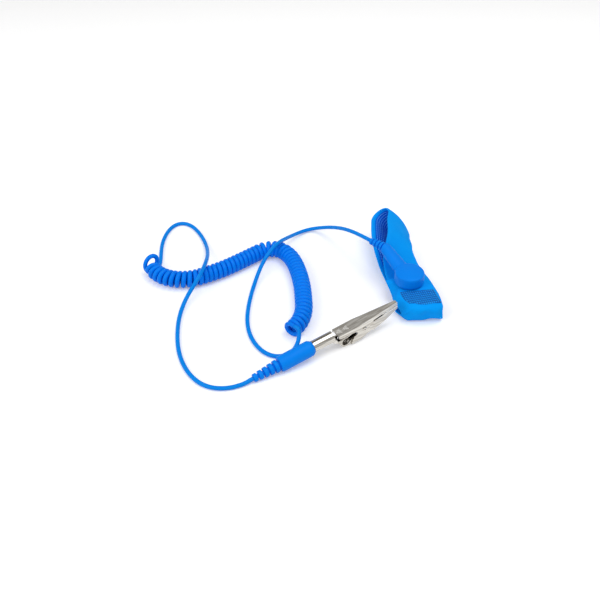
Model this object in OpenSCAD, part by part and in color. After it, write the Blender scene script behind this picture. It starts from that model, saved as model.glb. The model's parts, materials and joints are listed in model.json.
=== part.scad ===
// ESD wrist strap: a woven band with a snap, a coiled cord, and a banana plug in a crocodile clip.
// Units are millimetres. X runs across the band, Y along it, and Z up from the table.
// The origin lies on the table, in the middle of the band and the clip together.

/* [Wrist band] */
// Width of the band
band_w = 21; // [18:0.5:24]
// Thickness of the outer fabric
outer_t = 1.3; // [1:0.1:1.6]
// Thickness of the conductive lining
lining_t = 0.6; // [0.4:0.1:0.8]
// Length of the closed loop as it lies
loop_len = 79; // [74:1:84]
// Length of the end that laps over the top
lap_len = 27; // [25:1:32]
// Roll of the loop at its far end, in degrees
far_roll = 50; // [40:1:52]
// Rise of the upper layer over the lower one at the near end
near_rise = 6.2; // [5:0.2:8]
// Rise of the upper layer over the lower one at the far end
far_rise = 13; // [10:0.5:14]
// How far the far end's right edge draws back
far_round = 4.5; // [0:0.5:6]
// Length of the hook patch along the band
hook_len = 8.5; // [6:0.5:9]

/* [Snap] */
// Distance of the snap from the near end of the loop
snap_at = 21; // [18:0.5:23]
// How far the snap sits to the left of the lapped end's middle
snap_left = 0.2; // [0:0.1:2]
// Diameter of the snap's cap
cap_d = 16.4; // [15:0.2:18]
// Height of the cap
cap_h = 6.4; // [5.5:0.1:7.5]
// Diameter of the stud's head
stud_d = 9.6; // [9:0.1:10]
// Height of the stud above the fabric
stud_h = 3.2; // [2.8:0.1:3.6]
// Radial clearance of the stud in the snap
stud_fit = 0.05; // [0.03:0.01:0.1]
// Length of the neck, from the cap's centre to the strain relief
neck_len = 24; // [20:0.5:26]
// Width of the neck where it leaves the cap
neck_w = 9.6; // [7:0.2:12]
// Angle between the neck and the band's width, in degrees
neck_turn = 106; // [100:1:125]
// Bend of the strain relief away from the neck, in degrees
relief_turn = 16; // [0:1:25]

/* [Cord] */
// Diameter of the cord
cord_d = 2.3; // [2:0.1:2.4]
// Outer diameter of the coil
coil_d = 10; // [9:0.25:10]
// Least clear gap between neighbouring curls
curl_gap = 0.62; // [0.6:0.01:0.75]
// Length of the strain relief at the snap
snap_relief_len = 9.5; // [8:0.5:13]
// Length of the strain relief at the plug
plug_relief_len = 15; // [12:0.5:17]

/* [Banana plug] */
// Diameter of the plug's grip
grip_d = 8.5; // [8:0.1:10]
// Length of the plug's grip
grip_len = 20; // [17:0.5:22]
// Diameter of the pin's core
pin_d = 3.2; // [2.8:0.1:3.4]
// Diameter of the sprung cage at its widest
cage_d = 4.7; // [4.4:0.1:4.8]
// Radial clearance between the cage and the barrel, and the cage and the pin
plug_fit = 0.05; // [0.03:0.01:0.1]

/* [Clip] */
// Length of the barrel that the plug goes into
barrel_len = 12; // [11:0.25:12.25]
// Thickness of the clip's steel sheet
sheet_t = 0.6; // [0.5:0.05:0.7]
// Overall length of the clip
clip_len = 53; // [50:0.5:56]
// Width of the clip at its rear
clip_w = 6.8; // [6.6:0.1:7.4]
// Width of the clip at its tip
tip_w = 1.8; // [1.6:0.1:3.4]
// Distance of the pivot from the barrel's end
pivot_x = 30; // [29:0.5:31]
// Diameter of the pivot pin
pivot_d = 1.8; // [1.5:0.1:2]
// Side clearance between the jaws
jaw_gap = 0.15; // [0.1:0.05:0.2]
// Spacing of the jaws' teeth
tooth_pitch = 1.5; // [1.2:0.1:1.8]
// Diameter of the spring's wire
wire_d = 0.8; // [0.7:0.05:0.85]
// Outer diameter of the spring's coil
spring_d = 5.4; // [5:0.1:5.6]

/* [Hidden] */
$fn = 48;
slack = 0.1;            // gap between pieces that only lie on each other

// ---- small helpers ----
function unit(a) = a / norm(a);
function ramp(t) = t <= 0 ? 0 : t >= 1 ? 1 : t * t * (3 - 2 * t);
function last(a) = a[len(a) - 1];
// Point t along a smooth curve through a list of points, where t counts the points
function through(p, t) =
    let (n = len(p), i = max(0, min(n - 2, floor(t))), f = t - i,
         b = p[i], c = p[i + 1],
         a = i > 0 ? p[i - 1] : 2 * b - c, d = i < n - 2 ? p[i + 2] : 2 * c - b)
    0.5 * ((2 * b) + (c - a) * f + (2 * a - 5 * b + 4 * c - d) * f * f
           + (3 * b - a - 3 * c + d) * f * f * f);
// Triangles between rings of n points each, with both ends closed
function tube_faces(rings, n) = concat(
    [for (i = [0 : rings - 2], j = [0 : n - 1])
        [i * n + j, i * n + (j + 1) % n, (i + 1) * n + (j + 1) % n]],
    [for (i = [0 : rings - 2], j = [0 : n - 1])
        [i * n + j, (i + 1) * n + (j + 1) % n, (i + 1) * n + j]],
    [for (j = [1 : n - 2]) [0, j + 1, j]],
    [for (j = [1 : n - 2]) [(rings - 1) * n, (rings - 1) * n + j, (rings - 1) * n + j + 1]]);
// One ring of n points round c, square to t, with its first point turned from side
function ring_at(c, t, side, r, n) =
    let (e = unit(side - (side * t) * t), f = cross(e, t))
    [for (j = [0 : n - 1]) c + r * (cos(360 * j / n) * e + sin(360 * j / n) * f)];
// The directions of a line at each of its points
function headings(p) = [for (i = [0 : len(p) - 1])
    unit(p[min(i + 1, len(p) - 1)] - p[max(i - 1, 0)])];
// A round tube along a line that lies more or less level
module cord_tube(p, d, n) {
    t = headings(p);
    points = [for (i = [0 : len(p) - 1]) each
        ring_at(p[i], t[i], cross([0, 0, 1], t[i]), d / 2, n)];
    polyhedron(points, tube_faces(len(p), n), convexity = 10);
}

// ---- how the band lies ----
// Places along the loop, from its near end to its far end, as shares of its length
knot_share = [0, 0.15, 0.35, 0.6, 0.8, 1];
// Where the loop's middle runs, in X
knot_x = [26.6, 23.6, 19.1, 12.6, 9.6, 10.1];
near_y = -25.5;         // the loop's near end
edge_shift = 1.5;       // how far the lapped end sits to the left of the layer below
lap_rise = 2.9;         // from one lapped layer to the next
near_bend = 3.6;        // radius of the two bends at the near end
floor_gap = 0.05;
open_share = 0.6;       // share of the loop in which it rolls and opens
fabric_t = outer_t + lining_t;
function share_at(v) = v / loop_len;
function knot_t(s, i = 0) = i >= len(knot_share) - 2 || s < knot_share[i + 1]
    ? i + (s - knot_share[i]) / (knot_share[i + 1] - knot_share[i]) : knot_t(s, i + 1);
function band_x(v) = through([for (x = knot_x) [x, 0]], knot_t(max(0, min(1, share_at(v)))))[0];
// The doubled part lies flat, and the band rolls and opens beyond it
function roll_at(v) = far_roll * ramp((v - lap_len) / (open_share * loop_len));
function rise_at(v) = near_rise + (far_rise - near_rise) * ramp((v - lap_len) / (open_share * loop_len));
// The turn of the band in plan
function turn_at(v) =
    ramp(v / 25) * atan2(band_x(max(0, v - 2)) - band_x(min(loop_len, v + 2)), 4);
// The far end draws back towards the right edge, so that it is round
function draw_back(v, u) =
    far_round * ramp((share_at(v) - 0.6) / 0.4)
    * lookup(2 * u / band_w, [[-0.5, 0], [0, 0.03], [0.5, 0.34], [1, 1]]);
// A point v along the loop, n above its lower layer and u across it
function band_point(v, n, u) =
    let (a = roll_at(v), h = turn_at(v),
         low = band_w / 2 * sin(a) + outer_t * cos(a) + floor_gap,
         across = u * cos(a) + n * sin(a))
    [band_x(v) + across * cos(h), near_y + v + across * sin(h) - draw_back(v, u),
     low - u * sin(a) + n * cos(a)];
// The strap's line, from the end inside the near bend, out along the top, back below, and lapped over
far_bend = rise_at(loop_len) / 2;
function shift_at(v) = -edge_shift * (1 - ramp((v - 5) / 30));
lap_top = rise_at(0) + lap_rise;
strap_line = concat(
    [for (i = [0 : 20]) let (v = 5 + (loop_len - far_bend - 5) * i / 20) [v, rise_at(v), 0]],
    [for (i = [1 : 9]) let (a = 18 * i)
        [loop_len - far_bend + far_bend * sin(a), far_bend + far_bend * cos(a), 0]],
    [for (i = [0 : 20]) let (v = loop_len - far_bend - (loop_len - far_bend - near_bend) * i / 20)
        [v, 0, shift_at(v)]],
    [for (i = [1 : 4]) let (a = 22.5 * i)
        [near_bend - near_bend * sin(a), near_bend - near_bend * cos(a), -edge_shift]],
    [for (i = [0 : 4]) let (a = 22.5 * i)
        [near_bend - near_bend * cos(a), lap_top - near_bend + near_bend * sin(a), -edge_shift]],
    [for (i = [1 : 7]) let (v = near_bend + (lap_len - near_bend) * i / 7)
        [v, rise_at(v) + lap_rise, -edge_shift]]);
// The outward side of the strap at each point of its line, in the plane of v and n
strap_out = let (n = len(strap_line)) [for (i = [0 : n - 1])
    let (d = strap_line[min(i + 1, n - 1)] - strap_line[max(i - 1, 0)]) unit([-d[1], d[0]])];
spans = 4;              // flat faces across a strip
// Triangles of a strip: its sides, then its two ends
function strip_faces(rings) = let (n = 2 * spans + 2, e = (rings - 1) * n) concat(
    [for (i = [0 : rings - 2], j = [0 : n - 1])
        [i * n + j, (i + 1) * n + (j + 1) % n, i * n + (j + 1) % n]],
    [for (i = [0 : rings - 2], j = [0 : n - 1])
        [i * n + j, (i + 1) * n + j, (i + 1) * n + (j + 1) % n]],
    [for (k = [0 : spans - 1]) each [[k, k + 1, n - 2 - k], [k, n - 2 - k, n - 1 - k]]],
    [for (k = [0 : spans - 1]) each
        [[e + k, e + n - 2 - k, e + k + 1], [e + k, e + n - 1 - k, e + n - 2 - k]]]);
// A strip of the strap between two depths, measured outwards, and of a width, from one point to another
module strap_strip(inner, outer, w, from, to) {
    points = [for (i = [from : to]) let (p = strap_line[i], o = strap_out[i])
        each [for (k = [0 : 2 * spans + 1]) let (
            depth = k <= spans ? outer : inner, c = k <= spans ? k : 2 * spans + 1 - k)
            band_point(p[0] + o[0] * depth, p[1] + o[1] * depth,
                p[2] + max(-w / 2, min(w / 2, (c / spans - 0.5) * band_w)))]];
    polyhedron(points, strip_faces(to - from + 1), convexity = 10);
}
strap_last = len(strap_line) - 1;
// The place v along the outside of the lapped end: its middle, then its X, Y (along it) and Z (out of it)
function lap_axes(v) = let (n = rise_at(v) + lap_rise + outer_t, o = band_point(v, n, -edge_shift),
    x = unit(band_point(v, n, 1 - edge_shift) - o),
    z = unit(cross(x, band_point(v + 1, n, -edge_shift) - o))) [o, x, cross(z, x), z];
function lap_spot(v, p) = let (f = lap_axes(v)) f[0] + p[0] * f[1] + p[1] * f[2] + p[2] * f[3];
module on_lap(v) {
    f = lap_axes(v);
    multmatrix([for (i = [0 : 2]) [f[1][i], f[2][i], f[3][i], f[0][i]]]) children();
}
module at_snap() on_lap(snap_at) translate([-snap_left, 0, 0]) children();

// ---- band ----
shank_d = 4;            // the eyelet's shank, through the fabric
module shank_hole(d) at_snap() translate([0, 0, -fabric_t - 0.6]) rotate([0, 0, 7])
    cylinder(h = fabric_t + 2, d = d, $fn = 24);
module band_outer() color([0, 0.58, 0.98]) difference() {
    strap_strip(0, outer_t, band_w, 0, strap_last);
    shank_hole(shank_d + 0.24);
}
module band_lining() color([0.05, 0.22, 0.6]) difference() {
    strap_strip(-lining_t - 0.05, -0.05, band_w - 1.6, 0, strap_last);
    shank_hole(shank_d + 1.14);
}
hook_t = 0.9;
module hook_patch() color([0.1, 0.42, 0.78])
    on_lap(snap_at - cap_d / 2 - 2 * slack - hook_len)
        translate([-band_w / 2 + 1, 0, slack / 2]) cube([band_w - 2, hook_len, hook_t]);

// ---- snap on the band ----
plate_t = 0.35;
plate_w = 12;
flange_t = 0.4;
module contact_plate() color("silver") at_snap()
    translate([0, 0, -fabric_t - slack - plate_t]) difference() {
        intersection() {
            cylinder(h = plate_t, d = cap_d - 1);
            translate([-cap_d / 2, -plate_w / 2, 0]) cube([cap_d, plate_w, plate_t]);
        }
        translate([0, 0, -1]) cylinder(h = plate_t + 2, d = shank_d + 0.1);
    }
eyelet_base = -fabric_t - slack - plate_t - flange_t;
module snap_eyelet() color("lightgrey") at_snap() translate([0, 0, eyelet_base]) {
    cylinder(h = flange_t, d = 2 * shank_d);
    cylinder(h = -eyelet_base + flange_t - 0.1, d = shank_d);
}
module snap_stud() color("lightgrey") at_snap() rotate_extrude() polygon([
    [shank_d / 2, slack / 2], [stud_d / 2 + 0.9, slack / 2], [stud_d / 2 + 0.9, flange_t],
    [stud_d / 2 - 0.4, flange_t], [stud_d / 2 - 0.4, stud_h * 0.45], [stud_d / 2, stud_h * 0.6],
    [stud_d / 2, stud_h - 0.5], [stud_d / 2 - 0.5, stud_h], [0, stud_h], [0, stud_h - 0.6],
    [shank_d / 2, stud_h - 0.6]]);

// ---- snap head on the cord ----
head_z = 0.8;           // underside of the cap over the fabric
bore_r = stud_d / 2 + stud_fit + 0.2;
ring_r = 0.4;           // the spring ring's wire
ring_z = stud_h * 0.45;
ring_out = stud_d / 2 + 2 * (stud_fit + ring_r);
socket_r = bore_r + 1.6;
socket_top = stud_h + 0.7;
neck_z = head_z + cap_h / 2;
neck_end_r = 2.9;
module head_turn() at_snap() rotate([0, 0, neck_turn]) children();
neck_root = cap_d / 2 - 3;
neck_rest = 0.2;        // from the neck to the band's edge below it
// A place on top of the band's upper layer, as the neck sees it: along it, beside it and above the lap
function below_neck(v, u) = let (f = lap_axes(snap_at),
    d = band_point(v, rise_at(v) + outer_t, u) - f[0] + snap_left * f[1])
    [d * f[1] * cos(neck_turn) + d * f[2] * sin(neck_turn),
     d * f[2] * cos(neck_turn) - d * f[1] * sin(neck_turn), d * f[3]];
// The neck rises just enough to rest on the band's high edge
neck_lift = max([0, for (v = [lap_len : loop_len - 15], u = [-band_w / 2 : 1.5 : 0])
    let (p = below_neck(v, u)) if (abs(p[1]) < neck_end_r && p[0] > neck_root + 4 && p[0] < neck_len + 5)
    (p[2] + neck_rest + sqrt(pow(neck_end_r, 2) - pow(p[1], 2)) - neck_z)
        * (neck_len - neck_root) / (min(p[0], neck_len) - neck_root)]);
module at_neck_tip() translate([neck_len, 0, neck_z + neck_lift]) rotate([0, 0, relief_turn]) children();
function head_spot(d) = [neck_len * cos(neck_turn) + d * cos(neck_turn + relief_turn) - snap_left,
    neck_len * sin(neck_turn) + d * sin(neck_turn + relief_turn), neck_z + neck_lift];
module snap_ring() color("gold") at_snap() rotate([0, 0, neck_turn + 200]) translate([0, 0, ring_z])
    rotate_extrude(angle = 320) translate([stud_d / 2 + stud_fit + ring_r, 0]) circle(r = ring_r, $fn = 16);
module snap_socket() color("silver") at_snap() rotate_extrude() polygon([
    [bore_r, head_z + 0.1], [socket_r, head_z + 0.1], [socket_r, socket_top], [0, socket_top],
    [0, socket_top - 0.4], [bore_r, socket_top - 0.4], [bore_r, ring_z + ring_r + 0.1],
    [ring_out, ring_z + ring_r + 0.1], [ring_out, ring_z - ring_r - 0.1],
    [bore_r, ring_z - ring_r - 0.1]]);
cap_round = 1.3;
module cap_disc() rotate_extrude() polygon(concat(
    [[0, head_z], [cap_d / 2 - 0.3, head_z], [cap_d / 2, head_z + 0.3]],
    [for (a = [0 : 15 : 90])
        [cap_d / 2 - cap_round * (1 - cos(a)), head_z + cap_h - 0.5 - cap_round * (1 - sin(a))]],
    [[cap_d / 4, head_z + cap_h - 0.1], [0, head_z + cap_h]]));
module snap_cap() color([0.05, 0.5, 0.92]) head_turn() difference() {
    union() {
        cap_disc();
        hull() {
            translate([neck_root, 0, neck_z]) rotate([0, 90, 0])
                scale([0.92 * cap_h / neck_w, 1, 1]) cylinder(h = 1, d = neck_w, $fn = 32);
            at_neck_tip() translate([-2, 0, 0]) rotate([0, 90, 0]) cylinder(h = 2, r = neck_end_r, $fn = 32);
        }
    }
    translate([0, 0, -1]) cylinder(h = socket_top + 1, r = socket_r);
}
// A ribbed sleeve that tapers from its root at x = 0 to its end at x = length
module ribbed(length, root_r, end_r, ribs) {
    pitch = length / ribs;
    groove = 0.55;
    bore = cord_d / 2 + 0.03;
    profile = concat(
        [[bore, 0], [root_r - groove, 0]],
        [for (i = [0 : ribs - 1]) let (r = root_r + (end_r - root_r) * (i + 1) / ribs, x = i * pitch) each
            [[r - groove, x], [r - groove, x + 0.42 * pitch], [r, x + 0.48 * pitch],
             [r, x + 0.94 * pitch], [r - groove, x + pitch]]],
        [[bore, length]]);
    rotate([0, 90, 0]) rotate_extrude() polygon(profile);
}
module snap_relief() color([0.05, 0.5, 0.92]) head_turn() at_neck_tip()
    ribbed(snap_relief_len, neck_end_r, cord_d / 2 + 0.9, 4);

// ---- clip: crocodile jaws with a barrel ----
// The clip's frame has its origin at the barrel's rear end, X along the barrel and Z up
clip_turn = 31;
clip_tilt = 7.75;
clip_spot = [-34.4, -52.2, 6.95];
module in_clip() translate(clip_spot) rotate([0, -clip_tilt, clip_turn]) children();
function clip_point(p) = let (c = cos(clip_tilt), s = sin(clip_tilt), x = c * p[0] - s * p[2])
    clip_spot + [x * cos(clip_turn) - p[1] * sin(clip_turn), x * sin(clip_turn) + p[1] * cos(clip_turn),
                 s * p[0] + c * p[2]];
barrel_r = cage_d / 2 + plug_fit + sheet_t + 0.1;
web_z = 1;              // top of the upper jaw
pivot_z = -3.4;
spring_x = pivot_x - 11.7;
spring_z = -5.9;
belly_z = spring_z - spring_d / 2 - 0.15 - sheet_t;
tab_x = barrel_len + 2;
taper_x = pivot_x - 4;  // the clip's sides run straight up to here
lip_x = clip_len - 10;  // the teeth start here
window_x = pivot_x + 6.5;
tip_top = -1.3;
tip_low = -3.6;
function half_w(x) = clip_w / 2 + (tip_w - clip_w) / 2 * max(0, x - taper_x) / (clip_len - taper_x);
// The clip's outline from above, drawn in by some depth, between two distances
module plan(depth, from, to) translate([0, 0, -30]) linear_extrude(60) polygon(concat(
    [for (x = [from, max(from, taper_x), to]) [x, half_w(x) - depth]],
    [for (x = [to, max(from, taper_x), from]) [x, depth - half_w(x)]]));
// A side view given as points of x and z, as wide as the clip can be
module side_view(points) rotate([90, 0, 0]) translate([0, 0, -20]) linear_extrude(40) polygon(points);
// The toothed edge between the jaws, from the tip back
teeth = floor((clip_len - lip_x) / tooth_pitch);
function bite_z(x) = tip_top - 0.5 * (clip_len - x) / (clip_len - window_x);
function bite(shift) = [for (i = [0 : teeth - 1]) let (x = clip_len - i * tooth_pitch) each
    [[x - 0.1, bite_z(x) + shift - 0.45], [x - tooth_pitch / 2, bite_z(x) + shift + 0.45]]];
bite_gap = 0.25;
window_h = 1.1;
ear_front = pivot_x + 3.6;
ear_low = belly_z + 0.25;
notch = [spring_x + 5.9, -3.3];
module clip_jaw() color([0.8, 0.79, 0.76]) in_clip() difference() {
    intersection() {
        side_view(concat(
            [[tab_x, web_z], [clip_len - 0.4, web_z], [clip_len, web_z - 0.5], [clip_len - 0.4, web_z - 0.9],
             [clip_len, web_z - 1.4]],
            bite(0),
            [[lip_x, bite_z(lip_x)], [lip_x - 1, bite_z(lip_x) + window_h / 2],
             [window_x, bite_z(window_x) + window_h / 2], [window_x - 0.5, bite_z(window_x)],
             [ear_front + 0.3, bite_z(window_x)], [ear_front, pivot_z - 2], [ear_front - 1.6, pivot_z - 4.2],
             [pivot_x - 2, ear_low + 0.25], [spring_x + 2.8, ear_low], [notch[0] - 1.8, pivot_z - 3],
             [notch[0] - 0.9, notch[1] - 1.2], [notch[0], notch[1] - 1.3], [notch[0] + 1.1, notch[1] - 0.6],
             [notch[0] + 1.2, notch[1] + 0.5], [notch[0] + 0.4, notch[1] + 1.3],
             [notch[0] - 0.8, notch[1] + 1.4], [notch[0] - 2, web_z - 2.7], [tab_x + 1.2, web_z - 2.4],
             [tab_x, web_z - 1.6]]));
        plan(0, tab_x, clip_len);
    }
    intersection() {
        side_view([[0, -30], [clip_len + 5, -30], [clip_len + 5, web_z - sheet_t], [0, web_z - sheet_t]]);
        plan(sheet_t, 0, clip_len + 5);
    }
    translate([pivot_x, 0, pivot_z]) rotate([90, 0, 0]) cylinder(h = 2 * clip_w, d = pivot_d + 0.1, center = true);
}
// Raised triangles on the thumb end of the upper jaw
module grip_marks() for (x = [tab_x + 2.2, tab_x + 6.4])
    translate([x, 0, web_z - 0.1]) rotate([0, 0, 60]) cylinder(h = 0.55, r1 = 1.7, r2 = 0.8, $fn = 3);
inner_side = sheet_t + jaw_gap;
spread_x = ear_front + 1.2;
// The lower jaw's outer edge: down from the barrel, round the spring, and out along the belly to the tip
lobe_r = spring_d / 2 + 0.15 + sheet_t;
neck_x = barrel_len + 1.05;
belly_line = concat(
    [[barrel_len - 1, -barrel_r + 0.15], [barrel_len, -barrel_r], [barrel_len + 0.9, -barrel_r - 0.9],
     [barrel_len + 2, -barrel_r - 1.9]],
    [for (a = [190 : 20 : 250]) [spring_x + lobe_r * cos(a), spring_z + lobe_r * sin(a)]],
    [for (i = [0 : 12]) let (s = i / 12) [spring_x + (clip_len - spring_x) * s,
        belly_z + (tip_low - belly_z) * pow(s, 2.6)]]);
belly_in = let (n = len(belly_line)) [for (i = [2 : n - 1])
    let (d = unit(belly_line[min(i + 1, n - 1)] - belly_line[max(i - 1, 0)])) belly_line[i] + sheet_t * [-d[1], d[0]]];
jaw_top = concat(
    [[clip_len - 0.4, tip_low + 0.5], [clip_len, tip_low + 0.9]],
    [for (p = bite(-bite_gap)) if (p[0] > lip_x + 0.4) p],
    [[lip_x - 0.2, bite_z(lip_x) - window_h / 2], [window_x, bite_z(window_x) - window_h / 2],
     [window_x - 0.8, bite_z(window_x) - bite_gap], [spread_x, bite_z(window_x) - bite_gap],
     [spread_x - 1.5, pivot_z + 2.2], [pivot_x - 0.5, pivot_z + 3], [pivot_x - 4, pivot_z + 2.2],
     [spring_x + 1, pivot_z + 0.3], [spring_x - 2, pivot_z - 0.2], [neck_x + 0.4, pivot_z - 0.25],
     [neck_x, -1.3], [barrel_len - 1, -1.3]]);
module lower_plan(depth) {
    plan(depth + inner_side, 0, spread_x);
    translate([0, 0, -30]) linear_extrude(60) polygon([
        [spread_x - 0.01, half_w(spread_x) - depth - inner_side], [spread_x + 2, half_w(spread_x + 2) - depth],
        [clip_len + 5 * depth, half_w(clip_len) - depth], [clip_len + 5 * depth, depth - half_w(clip_len)],
        [spread_x + 2, depth - half_w(spread_x + 2)], [spread_x - 0.01, depth + inner_side - half_w(spread_x)]]);
}
// The opening that shows the spring
module spring_window() rotate([90, 0, 0]) translate([0, 0, -20]) {
    translate([spring_x, spring_z]) cylinder(h = 40, d = spring_d - 0.8);
    translate(notch) cylinder(h = 40, r = 1.4);
    linear_extrude(40) polygon([[spring_x + 0.2, spring_z + 2.1], [notch[0] - 0.6, notch[1] + 0.9],
        [notch[0] + 0.7, notch[1] - 1.2], [spring_x + 1.6, spring_z - 1.6]]);
}
seam_w = 0.25;
module clip_body() color([0.76, 0.75, 0.72]) in_clip() difference() {
    union() {
        rotate([0, 90, 0]) cylinder(h = barrel_len, r = barrel_r);
        difference() {
            intersection() {
                side_view(concat(belly_line, jaw_top));
                lower_plan(0);
            }
            intersection() {
                side_view(concat(belly_in, [[clip_len + 5, last(belly_in)[1]], [clip_len + 5, 20], [neck_x, 20]]));
                lower_plan(sheet_t);
            }
            spring_window();
            translate([pivot_x, 0, pivot_z]) rotate([90, 0, 0]) cylinder(h = 20, d = pivot_d, center = true);
        }
    }
    translate([-1, 0, 0]) rotate([0, 90, 0]) cylinder(h = barrel_len + 5, r = cage_d / 2 + plug_fit);
    translate([-1, -seam_w / 2, 0]) cube([barrel_len + 5, seam_w, 10]);
}
pin_half = half_w(pivot_x);
head_t = 0.4;
module clip_pivot() color("silver") in_clip() translate([pivot_x, 0, pivot_z]) rotate([90, 0, 0]) difference() {
    union() {
        cylinder(h = 2 * (pin_half + slack), d = pivot_d, center = true);
        for (m = [0, 1]) mirror([0, 0, m]) translate([0, 0, pin_half + slack])
            cylinder(h = head_t, d1 = pivot_d + 0.9, d2 = pivot_d + 0.3);
    }
    for (m = [0, 1]) mirror([0, 0, m]) translate([0, 0, pin_half + slack + head_t - 0.25])
        cylinder(h = 1, d = 0.8);
}
module clip_jaw_piece() {
    clip_jaw();
    color([0.8, 0.79, 0.76]) in_clip() grip_marks();
}
// The torsion spring: a leg along the belly, the coil, and a leg up under the upper jaw
spring_r = (spring_d - wire_d) / 2;
spring_turns = 2 + 150 / 360;
spring_side = 1.55;     // how far the coil's ends sit from the clip's middle
function spring_at(a) = let (f = a / (360 * spring_turns), b = -90 - a)
    [spring_x + spring_r * cos(b), spring_side - 2 * spring_side * f, spring_z + spring_r * sin(b)];
leg_end = -90 - 360 * spring_turns;
leg_dir = [sin(leg_end), 0, -cos(leg_end)];
spring_line = concat(
    [for (x = [8, 4]) spring_at(0) + [x, 0, x * 0.02]],
    [for (i = [0 : round(spring_turns * 8)]) spring_at(min(360 * spring_turns, i * 45))],
    [for (k = [2.5, 4.6]) spring_at(360 * spring_turns) + k * leg_dir]);
module clip_spring() color([0.45, 0.42, 0.38]) in_clip() {
    t = headings(spring_line);
    points = [for (i = [0 : len(t) - 1]) each ring_at(spring_line[i], t[i], [0, 1, 0], wire_d / 2, 6)];
    polyhedron(points, tube_faces(len(t), 6), convexity = 10);
}

// ---- banana plug on the cord ----
grip_chamfer = 1.6;
module plug_grip() color([0.05, 0.5, 0.92]) in_clip() rotate([0, -90, 0]) rotate_extrude() polygon([
    [pin_d / 2, slack], [grip_d / 2 - 0.9, slack], [grip_d / 2, slack + grip_chamfer],
    [grip_d / 2, grip_len - 0.8], [grip_d / 2 - 0.8, grip_len], [pin_d / 2, grip_len]]);
module plug_relief() color([0.05, 0.5, 0.92]) in_clip() translate([-grip_len, 0, 0]) rotate([0, 0, 180])
    ribbed(plug_relief_len, grip_d / 2 - 0.65, cord_d / 2 + 1, 5);
collar_len = 1;
pin_end = barrel_len + 0.3;
module plug_pin() color("silver") in_clip() rotate([0, 90, 0]) rotate_extrude() polygon([
    [0, -grip_len + 4], [pin_d / 2, -grip_len + 4], [pin_d / 2, slack], [pin_d / 2 + 0.4, slack],
    [pin_d / 2 + 0.4, collar_len], [pin_d / 2, collar_len], [pin_d / 2, pin_end - 1.6],
    [pin_d / 2 + 0.35, pin_end - 1.4], [pin_d / 2 + 0.2, pin_end - 0.7], [pin_d / 4, pin_end], [0, pin_end]]);
cage_from = collar_len + 0.1;
cage_to = pin_end - 1.7;
cage_t = 0.22;
cage_in = pin_d / 2 + plug_fit;
function bulge(f) = f < 0.12 || f > 0.88 ? 0 : sin(180 * (f - 0.12) / 0.76);
module plug_cage() color("gold") in_clip() difference() {
    rotate([0, 90, 0]) rotate_extrude() polygon(concat(
        [for (i = [0 : 16]) let (f = i / 16)
            [cage_in + (cage_d / 2 - cage_t - cage_in) * bulge(f), cage_from + (cage_to - cage_from) * f]],
        [for (i = [16 : -1 : 0]) let (f = i / 16)
            [cage_in + cage_t + (cage_d / 2 - cage_t - cage_in) * bulge(f), cage_from + (cage_to - cage_from) * f]]));
    for (a = [0 : 45 : 135]) rotate([a + 22.5, 0, 0])
        translate([cage_from + 1.2, -0.3, -5]) cube([cage_to - cage_from - 2.4, 0.6, 10]);
}

// ---- cord ----
// The coil's middle line, level on the table, from the plug's side to the snap's side
spine_z = coil_d / 2 + floor_gap;
spine_points = [[-128.4, 18.5], [-123.9, 12], [-117.4, 7.5], [-109.9, 5.8], [-101.9, 7], [-93.9, 10.8],
    [-85.4, 16], [-76.9, 22.6], [-68.9, 29.3], [-61.7, 34.6], [-53.7, 34.6], [-47.7, 29], [-43.9, 20.5],
    [-41.3, 10], [-39.7, -0.5], [-39, -11], [-39.1, -20], [-41.4, -28.5], [-47.9, -34.4]];
spine_step = 10;        // places worked out between two points of the middle line
spine = [for (i = [0 : (len(spine_points) - 1) * spine_step])
    through(spine_points, i / spine_step)];
curl_r = (coil_d - cord_d) / 2;
loose_len = 4;          // length over which the first curl is looser than the rest
rings_per_curl = 8;
function bend_of(a, b, c) = let (p = b - a, q = c - b, s = p[0] * q[1] - p[1] * q[0])
    abs(s) / (norm(p) * norm(q)) / ((norm(p) + norm(q)) / 2);
function sums(a, i = 0, s = 0) = i == len(a) ? [s] : concat([s], sums(a, i + 1, s + a[i]));
// How many degrees the wire turns between two places: fewer where a bend draws the curls together
curl_step = [for (i = [1 : len(spine) - 1])
    let (k = max(3, min(len(spine) - 4, i)), bend = bend_of(spine[k - 3], spine[k], spine[k + 3]))
    norm(spine[i] - spine[i - 1]) * 360 * (1 - curl_r * bend) / (cord_d + curl_gap)
        * (i < loose_len ? 0.6 : 1)];
curl_angle = sums(curl_step);
curls = floor(last(curl_angle) / 360 - 0.6) + 0.5;
angle_x = [for (i = [0 : len(spine) - 1]) [curl_angle[i], spine[i][0]]];
angle_y = [for (i = [0 : len(spine) - 1]) [curl_angle[i], spine[i][1]]];
function spine_at(a) = [lookup(a, angle_x), lookup(a, angle_y), spine_z];
function spine_way(a) = unit(spine_at(a + 60) - spine_at(a - 60));
// The wire starts under the coil and ends on top of it, where it leaves for the straight cord
function curl_point(a) = let (w = spine_way(a), b = a - 90)
    spine_at(a) + curl_r * (cos(b) * [w[1], -w[0], 0] + [0, 0, sin(b)]);
curl_line_core = [for (i = [0 : curls * rings_per_curl]) curl_point(i * 360 / rings_per_curl)];
function level(d) = unit([d[0], d[1], 0]);
start_way = level(curl_line_core[0] - curl_line_core[1]);
end_way = level(last(curl_line_core) - curl_line_core[len(curl_line_core) - 2]);
coil_start = curl_line_core[0] + cord_d * start_way;
coil_end = last(curl_line_core) + cord_d * end_way;
curl_line = concat([coil_start], curl_line_core, [coil_end]);
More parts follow.
